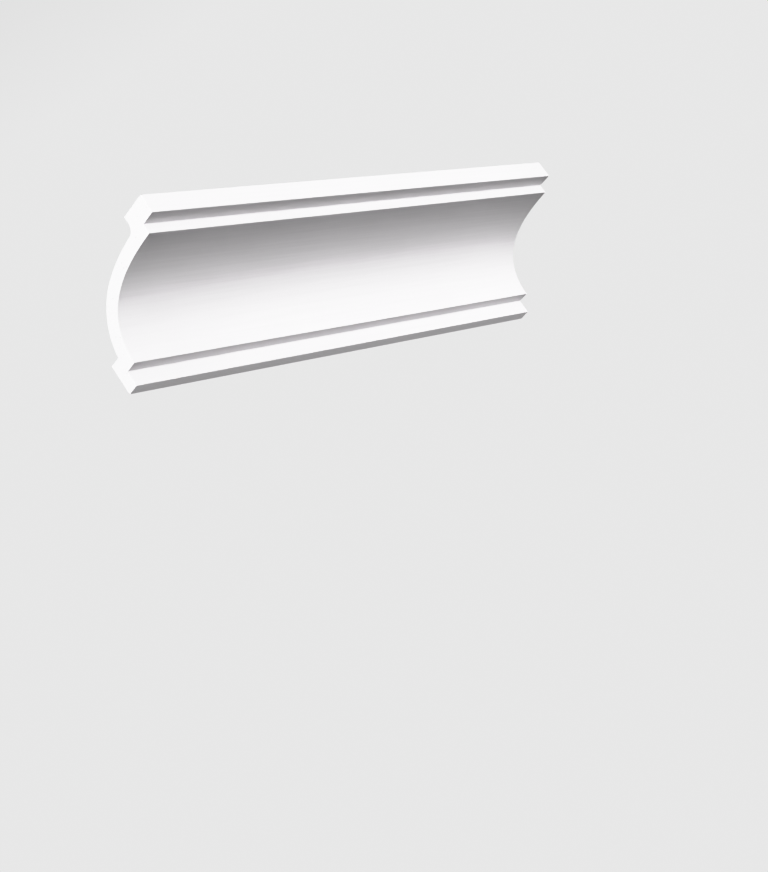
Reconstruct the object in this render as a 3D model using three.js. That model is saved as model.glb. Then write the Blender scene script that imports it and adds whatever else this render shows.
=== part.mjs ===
// A length of cove cornice moulding for the corner between a wall and a ceiling.
// One cast length of constant section: a thin cove with two stepped fillets at the ceiling,
// one step at the wall, and a flat glue face behind each of its two edges.
// Millimetres, +Z up. +X runs along the length, +Y points at the wall, -Y into the room.
// The origin is the middle of the wall glue face.

import * as THREE from 'three';

// Overall sizes.
const LENGTH = 440;
const PROJECTION = 100;
const DROP = 81.25;
const WALL_THICKNESS = 10.5;

// Stepped fillets under the ceiling, from the front edge inwards.
const CEILING_FILLET_HEIGHT = 14.5;
const CEILING_FILLET_SETBACK = 11.5;
const SECOND_FILLET_HEIGHT = 7.25;

// Stepped foot on the wall, from the bottom edge upwards.
const FOOT_THICKNESS = 9.25;
const FOOT_FACE_HEIGHT = 11.5;
const FOOT_STEP = 9.25;

// Glue faces: how far each runs along the ceiling and the wall.
const CEILING_GLUE_WIDTH = 21.5;
const WALL_GLUE_HEIGHT = 23;

// Cove: it leaves the second fillet level and meets the foot upright. The two reaches say how long
// it keeps to each of those directions.
const COVE_TOP_REACH = 35;
const COVE_FOOT_REACH = 41.5;

// Inside corner between the ceiling head and the back of the cove.
const BACK_FILLET_RADIUS = 6;

// Straight steps that stand for the round stretches.
const COVE_STEPS = 40;
const FILLET_STEPS = 8;

const COLOUR = 0xf4f4f2;
const ROUGHNESS = 0.62;

// Section points are (out, down): out from the wall face and down from the ceiling face.
const coveTop = new THREE.Vector2(
  PROJECTION - CEILING_FILLET_SETBACK,
  CEILING_FILLET_HEIGHT + SECOND_FILLET_HEIGHT,
);
const coveFoot = new THREE.Vector2(FOOT_THICKNESS + FOOT_STEP, DROP - FOOT_FACE_HEIGHT);
const cove = new THREE.CubicBezierCurve(
  coveTop,
  new THREE.Vector2(coveTop.x - COVE_TOP_REACH, coveTop.y),
  new THREE.Vector2(coveFoot.x, coveFoot.y - COVE_FOOT_REACH),
  coveFoot,
);

// The point that lies a distance behind the cove, square to it at t.
function behindCove(t, distance) {
  const along = cove.getTangent(t);
  const outward = new THREE.Vector2(-along.y, along.x);
  return cove.getPoint(t).add(outward.multiplyScalar(distance));
}

// Where a measure that falls along the cove passes through zero, by halving.
function coveParameter(measure) {
  let low = 0;
  let high = 1;
  while (high - low > 1e-9) {
    const middle = (low + high) / 2;
    if (measure(middle) > 0) {
      low = middle;
    } else {
      high = middle;
    }
  }
  return low;
}

// Outline of the section, front edge first, down the face and back up behind it.
function sectionOutline() {
  const headBack = PROJECTION - CEILING_GLUE_WIDTH;
  const footTop = DROP - WALL_GLUE_HEIGHT;
  const toFilletCentre = WALL_THICKNESS + BACK_FILLET_RADIUS;
  const filletEnd = coveParameter((t) => behindCove(t, toFilletCentre).x - headBack + BACK_FILLET_RADIUS);
  const backEnd = coveParameter((t) => footTop - behindCove(t, WALL_THICKNESS).y);
  const filletCentre = behindCove(filletEnd, toFilletCentre);
  const filletFoot = behindCove(filletEnd, WALL_THICKNESS).sub(filletCentre);

  const points = [
    new THREE.Vector2(PROJECTION, 0),
    new THREE.Vector2(PROJECTION, CEILING_FILLET_HEIGHT),
    new THREE.Vector2(coveTop.x, CEILING_FILLET_HEIGHT),
    ...cove.getPoints(COVE_STEPS),
    new THREE.Vector2(FOOT_THICKNESS, coveFoot.y),
    new THREE.Vector2(FOOT_THICKNESS, DROP),
    new THREE.Vector2(0, DROP),
    new THREE.Vector2(0, footTop),
  ];
  for (let step = 0; step <= COVE_STEPS; step += 1) {
    const t = THREE.MathUtils.lerp(backEnd, filletEnd, step / COVE_STEPS);
    points.push(behindCove(t, WALL_THICKNESS));
  }
  for (let step = FILLET_STEPS - 1; step >= 0; step -= 1) {
    const turn = (filletFoot.angle() * step) / FILLET_STEPS;
    const spoke = new THREE.Vector2(Math.cos(turn), Math.sin(turn)).multiplyScalar(BACK_FILLET_RADIUS);
    points.push(spoke.add(filletCentre));
  }
  points.push(new THREE.Vector2(headBack, 0));
  return points;
}

// Runs the section along the length. The extrusion's own axes, out, down and along, become
// -Y, -Z and +X, with the middle of the wall glue face at the origin.
function corniceGeometry() {
  const geometry = new THREE.ExtrudeGeometry(new THREE.Shape(sectionOutline()), {
    depth: LENGTH,
    bevelEnabled: false,
  });
  const toInstalled = new THREE.Matrix4().makeBasis(
    new THREE.Vector3(0, -1, 0),
    new THREE.Vector3(0, 0, -1),
    new THREE.Vector3(1, 0, 0),
  );
  toInstalled.setPosition(-LENGTH / 2, 0, DROP - WALL_GLUE_HEIGHT / 2);
  return geometry.applyMatrix4(toInstalled);
}

const moulding = new THREE.Mesh(
  corniceGeometry(),
  new THREE.MeshStandardMaterial({ color: COLOUR, roughness: ROUGHNESS, metalness: 0 }),
);
moulding.name = 'cornice_moulding';

const cornice = new THREE.Group();
cornice.add(moulding);

export default cornice;
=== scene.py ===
import math

import bmesh
import bpy
from mathutils import Matrix, Vector


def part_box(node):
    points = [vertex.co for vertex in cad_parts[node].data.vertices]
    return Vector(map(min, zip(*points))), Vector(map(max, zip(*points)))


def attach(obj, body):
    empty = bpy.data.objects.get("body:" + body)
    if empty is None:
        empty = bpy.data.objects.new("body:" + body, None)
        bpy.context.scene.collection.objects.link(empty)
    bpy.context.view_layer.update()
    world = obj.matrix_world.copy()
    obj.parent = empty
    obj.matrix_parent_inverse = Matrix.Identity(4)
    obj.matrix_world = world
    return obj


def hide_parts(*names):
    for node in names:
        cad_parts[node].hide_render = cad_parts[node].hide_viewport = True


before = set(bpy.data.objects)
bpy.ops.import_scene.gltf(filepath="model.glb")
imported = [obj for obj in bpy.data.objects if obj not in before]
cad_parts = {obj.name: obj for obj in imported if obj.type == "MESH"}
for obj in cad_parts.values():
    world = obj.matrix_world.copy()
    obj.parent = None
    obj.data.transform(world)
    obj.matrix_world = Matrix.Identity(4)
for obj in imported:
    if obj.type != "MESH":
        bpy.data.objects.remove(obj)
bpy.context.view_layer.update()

# Cornice moulding: one length of rigid white foam, cast to its section in a long mould, primed on
# its face and sawn square at both ends. Adhesive on the two flat strips behind holds it to the
# wall and the ceiling.
MM = 0.001
low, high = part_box("cornice_moulding")
PROJECTION = high.y - low.y
DROP = high.z - low.z

WALL_THICKNESS = 10.5 * MM
CEILING_FILLET_HEIGHT = 14.5 * MM
CEILING_FILLET_SETBACK = 11.5 * MM
SECOND_FILLET_HEIGHT = 7.25 * MM
FOOT_THICKNESS = 9.25 * MM
FOOT_FACE_HEIGHT = 11.5 * MM
FOOT_STEP = 9.25 * MM
CEILING_GLUE_WIDTH = 21.5 * MM
WALL_GLUE_HEIGHT = 23 * MM
COVE_TOP_REACH = 35 * MM
COVE_FOOT_REACH = 41.5 * MM
BACK_FILLET_RADIUS = 6 * MM

# How far each kind of edge is eased: cast outer arrises, roots of the steps, and sawn edges.
ARRIS = 0.5 * MM
ROOT = 0.8 * MM
SAWN_EDGE = 0.18 * MM
EASE_SEGMENTS = 3

COVE_STEPS = 64
FILLET_STEPS = 12
STATION_PITCH = 11 * MM

# Section points are (out from the wall face, down from the ceiling face).
cove_top = Vector((PROJECTION - CEILING_FILLET_SETBACK, CEILING_FILLET_HEIGHT + SECOND_FILLET_HEIGHT))
cove_foot = Vector((FOOT_THICKNESS + FOOT_STEP, DROP - FOOT_FACE_HEIGHT))
cove_knots = (
    cove_top,
    cove_top - Vector((COVE_TOP_REACH, 0)),
    cove_foot - Vector((0, COVE_FOOT_REACH)),
    cove_foot,
)


def behind_cove(t, distance):
    """The point a distance behind the cove, square to it at t: 0 under the fillets, 1 at the foot."""
    start, lead, follow, end = cove_knots
    s = 1 - t
    on_cove = s**3 * start + 3 * s * s * t * lead + 3 * s * t * t * follow + t**3 * end
    along = s * s * (lead - start) + 2 * s * t * (follow - lead) + t * t * (end - follow)
    along.normalize()
    return on_cove + distance * Vector((-along.y, along.x))


PARAMETER_TOLERANCE = 1e-9


def cove_parameter(measure):
    """Where a measure that falls along the cove passes through zero, by halving."""
    before, after = 0.0, 1.0
    while after - before > PARAMETER_TOLERANCE:
        middle = (before + after) / 2
        if measure(middle) > 0:
            before = middle
        else:
            after = middle
    return before


def face_outline():
    """The face from the ceiling edge down to the wall edge, as (point, easing) pairs."""
    cove = [(behind_cove(step / COVE_STEPS, 0), 0) for step in range(1, COVE_STEPS)]
    return [
        (Vector((PROJECTION, 0)), ARRIS),
        (Vector((PROJECTION, CEILING_FILLET_HEIGHT)), ARRIS),
        (Vector((cove_top.x, CEILING_FILLET_HEIGHT)), ROOT),
        (cove_top, ARRIS),
        *cove,
        (cove_foot, ARRIS),
        (Vector((FOOT_THICKNESS, cove_foot.y)), ROOT),
        (Vector((FOOT_THICKNESS, DROP)), ARRIS),
    ]


def back_outline():
    """The back from the wall edge up to the ceiling edge, as (point, easing) pairs."""
    head_back = PROJECTION - CEILING_GLUE_WIDTH
    foot_top = DROP - WALL_GLUE_HEIGHT
    to_centre = WALL_THICKNESS + BACK_FILLET_RADIUS
    fillet_end = cove_parameter(lambda t: behind_cove(t, to_centre).x - head_back + BACK_FILLET_RADIUS)
    back_end = cove_parameter(lambda t: foot_top - behind_cove(t, WALL_THICKNESS).y)
    centre = behind_cove(fillet_end, to_centre)
    spoke = behind_cove(fillet_end, WALL_THICKNESS) - centre
    sweep = math.atan2(spoke.y, spoke.x)

    points = [(Vector((0, DROP)), ARRIS), (Vector((0, foot_top)), ARRIS)]
    for step in range(COVE_STEPS + 1):
        t = back_end + (fillet_end - back_end) * step / COVE_STEPS
        points.append((behind_cove(t, WALL_THICKNESS), ROOT if step == 0 else 0))
    for step in reversed(range(FILLET_STEPS)):
        turn = sweep * step / FILLET_STEPS
        points.append((centre + BACK_FILLET_RADIUS * Vector((math.cos(turn), math.sin(turn))), 0))
    points.append((Vector((head_back, 0)), ARRIS))
    return points


# The order of the three finishes on the moulding.
FACE, BACK, SAWN = range(3)


def moulding_mesh():
    """The section run along the length, with each edge carrying the easing that it gets."""
    face = face_outline()
    outline = face + back_outline()
    stations = round((high.x - low.x) / STATION_PITCH)
    cast = bmesh.new()
    weight = cast.edges.layers.float.new("bevel_weight_edge")
    rings = []
    for station in range(stations + 1):
        x = low.x + (high.x - low.x) * station / stations
        rings.append([cast.verts.new((x, -point.x, high.z - point.y)) for point, _ in outline])
    for ring, following in zip(rings, rings[1:]):
        for i, (_, easing) in enumerate(outline):
            j = (i + 1) % len(outline)
            strip = cast.faces.new((ring[i], ring[j], following[j], following[i]))
            strip.material_index = FACE if i < len(face) else BACK
            cast.edges.get((ring[i], following[i]))[weight] = easing / ROOT
    for ring in (rings[0], rings[-1]):
        sawn = cast.faces.new(ring)
        sawn.material_index = SAWN
        for edge in sawn.edges:
            edge[weight] = SAWN_EDGE / ROOT
    bmesh.ops.recalc_face_normals(cast, faces=cast.faces)
    for part in cast.faces:
        part.smooth = True
    mesh = bpy.data.meshes.new("cornice_length")
    cast.to_mesh(mesh)
    cast.free()
    return mesh


class Wire:
    """A value inside a finish, so that its patterns are written as sums."""

    def __init__(self, finish, socket):
        self.finish = finish
        self.socket = socket

    def __add__(self, other):
        return self.finish.maths("ADD", self, other)

    def __radd__(self, other):
        return self.finish.maths("ADD", other, self)

    def __sub__(self, other):
        return self.finish.maths("SUBTRACT", self, other)

    def __rsub__(self, other):
        return self.finish.maths("SUBTRACT", other, self)

    def __mul__(self, other):
        return self.finish.maths("MULTIPLY", self, other)

    def __rmul__(self, other):
        return self.finish.maths("MULTIPLY", other, self)


class Finish:
    """The nodes of one finish."""

    def __init__(self, tree):
        self.tree = tree
        tree.nodes.clear()

    def node(self, kind, settings, sockets, output=0):
        """Adds a node with these settings and socket values or links, and gives one of its outputs."""
        made = self.tree.nodes.new(kind)
        for name, value in settings.items():
            setattr(made, name, value)
        for name, value in sockets.items():
            socket = next(s for s in made.inputs if name in (s.identifier, s.name))
            if isinstance(value, Wire):
                self.tree.links.new(value.socket, socket)
            else:
                socket.default_value = value
        return Wire(self, made.outputs[output]) if made.outputs else None

    def maths(self, operation, first, second):
        """One sum on two values."""
        return self.node("ShaderNodeMath", {"operation": operation}, {"Value": first, "Value_001": second})

    def place(self):
        """Where a point of the surface is on the object, in metres."""
        return self.node("ShaderNodeTexCoord", {}, {}, "Object")

    def stretched(self, vector, scale):
        """A place with each axis scaled by its own amount."""
        return self.node(
            "ShaderNodeVectorMath",
            {"operation": "MULTIPLY"},
            {"Vector": vector, "Vector_001": scale},
        )

    def noise(self, vector, scale, detail=2.0):
        """Soft patches, about as many to a unit as the scale says, with finer ones for more detail."""
        return self.node("ShaderNodeTexNoise", {}, {"Vector": vector, "Scale": scale, "Detail": detail})

    def cells(self, vector, scale):
        """How far a point is from the middle of its cell."""
        return self.node("ShaderNodeTexVoronoi", {}, {"Vector": vector, "Scale": scale}, "Distance")

    def axis(self, vector, name):
        """One coordinate of a place."""
        return self.node("ShaderNodeSeparateXYZ", {}, {"Vector": vector}, name)

    def ramp(self, value, start, end):
        """Goes from 0 to 1 as the value goes from start to end."""
        return self.node("ShaderNodeMapRange", {}, {"Value": value, "From Min": start, "From Max": end})

    def specks(self, vector, scale, radius):
        """Is 1 at the middle of a cell and 0 beyond the radius, which is a share of a cell."""
        return self.ramp(self.cells(vector, scale), radius, radius / 2)

    def blend(self, share, first, second):
        """The first colour where the share is 0, going over to the second where it is 1."""
        return self.node(
            "ShaderNodeMix",
            {"data_type": "RGBA"},
            {"Factor_Float": share, "A_Color": first, "B_Color": second},
            "Result",
        )

    def relief(self, height, depth):
        """The surface's direction over a pattern of heights that is this deep, in metres."""
        return self.node("ShaderNodeBump", {}, {"Height": height, "Distance": depth, "Strength": 1.0})

    def surface(self, colour, roughness, normal, specular):
        """Ends the finish with its shader."""
        shader = self.node(
            "ShaderNodeBsdfPrincipled",
            {},
            {
                "Base Color": colour,
                "Roughness": roughness,
                "Normal": normal,
                "Specular IOR Level": specular,
            },
        )
        self.node("ShaderNodeOutputMaterial", {}, {"Surface": shader})


def new_finish(name):
    """A material with an empty finish."""
    material = bpy.data.materials.new(name)
    material.use_nodes = True
    return material, Finish(material.node_tree)


# Primer on the face. Here and below, a pattern's scale is its count to the metre.
PRIMER_BRIGHT = (0.91, 0.892, 0.91, 1)
PRIMER_DULL = (0.741, 0.726, 0.741, 1)
PRIMER_ROUGHNESS = 0.48
PRIMER_SPECULAR = 0.3
PRIMER_RELIEF = 0.05 * MM
CLOUD_SCALE = 14
PEEL_SCALE = 850
DRAWN_SCALE = (10, 480, 480)


def primed_face():
    """Sprayed white primer: matt, faintly clouded, with an even peel and fine lines drawn lengthwise."""
    material, finish = new_finish("primed_face")
    place = finish.place()
    clouds = finish.noise(place, CLOUD_SCALE, detail=3)
    drawn = finish.noise(finish.stretched(place, DRAWN_SCALE), scale=1, detail=4)
    peel = finish.noise(place, PEEL_SCALE)
    shade = 0.4 * clouds + 0.6 * drawn
    colour = finish.blend(shade, PRIMER_BRIGHT, PRIMER_DULL)
    roughness = PRIMER_ROUGHNESS + 0.15 * peel + 0.1 * clouds
    normal = finish.relief(0.5 * peel + 0.5 * drawn, PRIMER_RELIEF)
    finish.surface(colour, roughness, normal, PRIMER_SPECULAR)
    return material


# Bare skin behind, with holes of two sizes, painted dark inside as their shade.
SKIN_BRIGHT = (0.91, 0.9, 0.88, 1)
SKIN_DULL = (0.72, 0.71, 0.69, 1)
SKIN_ROUGHNESS = 0.72
SKIN_SPECULAR = 0.25
SKIN_RELIEF = 0.12 * MM
BROAD_MOTTLE_SCALE = 16
FINE_MOTTLE_SCALE = 75
GRAIN_SCALE = 1400
# Painted shade: the dark that falls inside the pinholes and pricks is put into the colour.
PAINTED_HOLE_SHADE = (0.48, 0.47, 0.45, 1)
PINHOLE_SCALE = 70
PINHOLE_RADIUS = 0.05
PRICK_SCALE = 170
PRICK_RADIUS = 0.06

# Primer carried over the two edges: how far in it covers, where it ends, and how ragged it is.
CARRIED_PRIMER = (0.824, 0.813, 0.824, 1)
CARRIED_COVER = 3 * MM
CARRIED_END = 8 * MM
CARRIED_RAGGED = 5 * MM
RAGGED_SCALE = 160


def cast_back():
    """Bare foam skin behind: a duller white with pinholes, whose shade is painted dark, and primer carried
    over onto its two edges.
    """
    material, finish = new_finish("cast_back")
    place = finish.place()
    broad = finish.noise(place, BROAD_MOTTLE_SCALE, detail=4)
    fine = finish.noise(place, FINE_MOTTLE_SCALE, detail=4)
    mottle = 0.5 * broad + 0.5 * fine
    grain = finish.noise(place, GRAIN_SCALE)
    pinholes = finish.specks(place, PINHOLE_SCALE, PINHOLE_RADIUS)
    pricks = finish.specks(place, PRICK_SCALE, PRICK_RADIUS)
    ragged = CARRIED_RAGGED * finish.noise(place, RAGGED_SCALE, detail=3)
    along_y = finish.axis(place, "Y") + ragged
    along_z = finish.axis(place, "Z") + ragged
    over_head = finish.ramp(along_y, low.y + CARRIED_END, low.y + CARRIED_COVER)
    over_foot = finish.ramp(along_z, low.z + CARRIED_END, low.z + CARRIED_COVER)
    carried = over_head + over_foot
    skin = finish.blend(mottle, SKIN_BRIGHT, SKIN_DULL)
    # Painted shade: the holes are coloured dark where their shade would fall.
    holes_painted_dark = finish.blend(pinholes + 0.7 * pricks, skin, PAINTED_HOLE_SHADE)
    colour = finish.blend(carried, holes_painted_dark, CARRIED_PRIMER)
    roughness = SKIN_ROUGHNESS + 0.15 * grain - 0.15 * carried
    normal = finish.relief(0.6 * mottle + 0.3 * grain - 2 * pinholes - pricks, SKIN_RELIEF)
    finish.surface(colour, roughness, normal, SKIN_SPECULAR)
    return material


# Sawn foam on the ends, with painted shade in its voids.
FOAM_DULL = (0.7, 0.692, 0.7, 1)
FOAM_BRIGHT = (0.88, 0.87, 0.88, 1)
FOAM_ROUGHNESS = 0.75
FOAM_SPECULAR = 0.2
FOAM_RELIEF = 0.08 * MM
FOAM_CELL_SCALE = 2600
# Painted shade: the dark inside the voids is put into the colour.
PAINTED_VOID_SHADE = (0.56, 0.55, 0.55, 1)
VOID_SCALE = 200
VOID_RADIUS = 0.12
KERF_SCALE = (0, 60, 900)


def sawn_end():
    """Cut foam: fine cells and a few small voids opened by the saw, with their shade painted dark, and the
    shallow lines of its teeth.
    """
    material, finish = new_finish("sawn_end")
    place = finish.place()
    cells = finish.cells(place, FOAM_CELL_SCALE)
    voids = finish.specks(place, VOID_SCALE, VOID_RADIUS)
    kerf = finish.noise(finish.stretched(place, KERF_SCALE), scale=1, detail=3)
    cut = 0.6 * cells + 0.4 * kerf
    foam = finish.blend(cut, FOAM_DULL, FOAM_BRIGHT)
    # Painted shade: the voids are coloured dark where their shade would fall.
    colour = finish.blend(voids, foam, PAINTED_VOID_SHADE)
    roughness = FOAM_ROUGHNESS + 0.15 * cells
    normal = finish.relief(cut - 1.5 * voids, FOAM_RELIEF)
    finish.surface(colour, roughness, normal, FOAM_SPECULAR)
    return material


moulding = bpy.data.objects.new("cornice_length", moulding_mesh())
bpy.context.scene.collection.objects.link(moulding)
for material in (primed_face(), cast_back(), sawn_end()):
    moulding.data.materials.append(material)
eased = moulding.modifiers.new("eased edges", "BEVEL")
eased.limit_method = "WEIGHT"
eased.width = ROOT
eased.segments = EASE_SEGMENTS
moulding.modifiers.new("even shading", "WEIGHTED_NORMAL")
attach(moulding, "root")
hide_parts("cornice_moulding")

# Floor: a plain pale studio floor, a room's height below the moulding and round, so that its far edge
# is a level line. It throws no light back up, so that the undersides keep their shade.
FLOOR_DROP = 2.4
FLOOR_RADIUS = 30.0
FLOOR_SIDES = 128
FLOOR_DARK = (0.74, 0.74, 0.74, 1)
FLOOR_LIGHT = (0.77, 0.77, 0.77, 1)
FLOOR_ROUGHNESS = 0.8
FLOOR_SPECULAR = 0.2
FLOOR_RELIEF = 0.1 * MM
DUST_SCALE = 6
bpy.ops.mesh.primitive_circle_add(
    vertices=FLOOR_SIDES,
    radius=FLOOR_RADIUS,
    fill_type="NGON",
    location=(0, 0, -FLOOR_DROP),
)
floor = bpy.context.object
floor.name = "floor"
floor_paint, floor_finish = new_finish("floor_paint")
dust = floor_finish.noise(floor_finish.place(), DUST_SCALE)
floor_finish.surface(
    floor_finish.blend(dust, FLOOR_DARK, FLOOR_LIGHT),
    FLOOR_ROUGHNESS,
    floor_finish.relief(dust, FLOOR_RELIEF),
    FLOOR_SPECULAR,
)
floor.data.materials.append(floor_paint)
floor.visible_diffuse = False

# Light: a pale studio all round, dimmer overhead and below. A broad soft beam comes from the front
# left, brightest past the middle of the length. Three panels are fainter: one high and one low behind,
# and one off the right-hand end.
ALL_ROUND = (0.65, 0.65, 0.65, 1)
OVERHEAD = (0.38, 0.38, 0.38, 1)
UNDER_FLOOR = (0.02, 0.02, 0.02, 1)

# Heights of the sky between which one tone goes over to the next, from -1 straight down to 1 straight up.
RISE_FROM_FLOOR = (-0.2, -0.1)
RISE_TO_OVERHEAD = (0.5, 0.8)

studio = bpy.data.worlds.new("studio")
studio.use_nodes = True
bpy.context.scene.world = studio
sky = Finish(studio.node_tree)
climb = sky.axis(sky.node("ShaderNodeTexCoord", {}, {}, "Generated"), "Z")
above_floor = sky.ramp(climb, *RISE_FROM_FLOOR)
overhead = sky.ramp(climb, *RISE_TO_OVERHEAD)
tones = sky.blend(above_floor, UNDER_FLOOR, sky.blend(overhead, ALL_ROUND, OVERHEAD))
glow = sky.node("ShaderNodeBackground", {}, {"Color": tones, "Strength": 1.0})
sky.node("ShaderNodeOutputWorld", {}, {"Surface": glow})


def hang_lamp(data, place, aim):
    """Puts a lamp in its place, turned to its aim and unseen by the camera."""
    lamp = bpy.data.objects.new(data.name, data)
    bpy.context.scene.collection.objects.link(lamp)
    lamp.location = place
    lamp.rotation_euler = (aim - place).to_track_quat("-Z", "Y").to_euler()
    lamp.visible_camera = False


# The beam fades evenly from its middle to its edge.
BEAM_PLACE = Vector((-6.8, -5.9, -0.75))
BEAM_AIM = Vector((0.14, 0, 0))
BEAM_WIDTH = math.radians(6.8)
BEAM_RADIUS = 0.5
BEAM_POWER = 8050
beam = bpy.data.lights.new("front_lamp", "SPOT")
beam.shadow_soft_size = BEAM_RADIUS
beam.energy = BEAM_POWER
beam.spot_size = BEAM_WIDTH
beam.spot_blend = 1.0
hang_lamp(beam, BEAM_PLACE, BEAM_AIM)

# Each panel's name, side in metres, power in watts and place.
PANELS = (
    ("rear_lamp", 2.5, 90, Vector((0.8, 1.7, 4.2))),
    ("low_lamp", 0.5, 19, Vector((0, 2.2, -1.15))),
    ("side_lamp", 0.6, 30, Vector((4.0, 0.5, 0.5))),
)
PANEL_AIM = Vector((0, 0, 0))
for name, side, power, place in PANELS:
    panel = bpy.data.lights.new(name, "AREA")
    panel.shape = "SQUARE"
    panel.size = side
    panel.energy = power
    hang_lamp(panel, place, PANEL_AIM)

# Camera: in front, below and to the left, looking up, and turned so that the moulding lies nearly level
# in the frame. Its focal length is in pixels of the image, whose taller side is 872 pixels.
CAMERA_PLACE = Vector((-1.0251, -0.7609, -0.455))
HEADING = math.radians(52.774)
CLIMB = math.radians(16.414)
ROLL = math.radians(-34.62)
FOCAL_PIXELS = 1848
FRAME_PIXELS = 872
SENSOR = 36.0
camera_data = bpy.data.cameras.new("camera")
camera_data.sensor_width = SENSOR
camera_data.lens = SENSOR * FOCAL_PIXELS / FRAME_PIXELS
camera = bpy.data.objects.new("camera", camera_data)
bpy.context.scene.collection.objects.link(camera)
looking = Vector((
    math.sin(HEADING) * math.cos(CLIMB),
    math.cos(HEADING) * math.cos(CLIMB),
    math.sin(CLIMB),
))
upright = looking.to_track_quat("-Z", "Y").to_matrix().to_4x4()
camera.matrix_world = Matrix.Translation(CAMERA_PLACE) @ upright @ Matrix.Rotation(ROLL, 4, "Z")
bpy.context.scene.camera = camera

# The picture's tones rise steeply up to the light greys, then level off just under white. Each point is
# a brightness, as a share of the white level, and the tone that it gets.
WHITE_LEVEL = 1.15
TONE_POINTS = ((0.22, 0.31), (0.4, 0.558), (0.58, 0.815))
TOP_POINT = (1.0, 0.99)
ALL_COLOURS = 3
picture = bpy.context.scene.view_settings
picture.view_transform = "Standard"
picture.use_curve_mapping = True
response = picture.curve_mapping
response.extend = "HORIZONTAL"
response.white_level = (WHITE_LEVEL, WHITE_LEVEL, WHITE_LEVEL)
points = response.curves[ALL_COLOURS].points
points[1].location = TOP_POINT
for brightness, tone in TONE_POINTS:
    points.new(brightness, tone)
response.update()
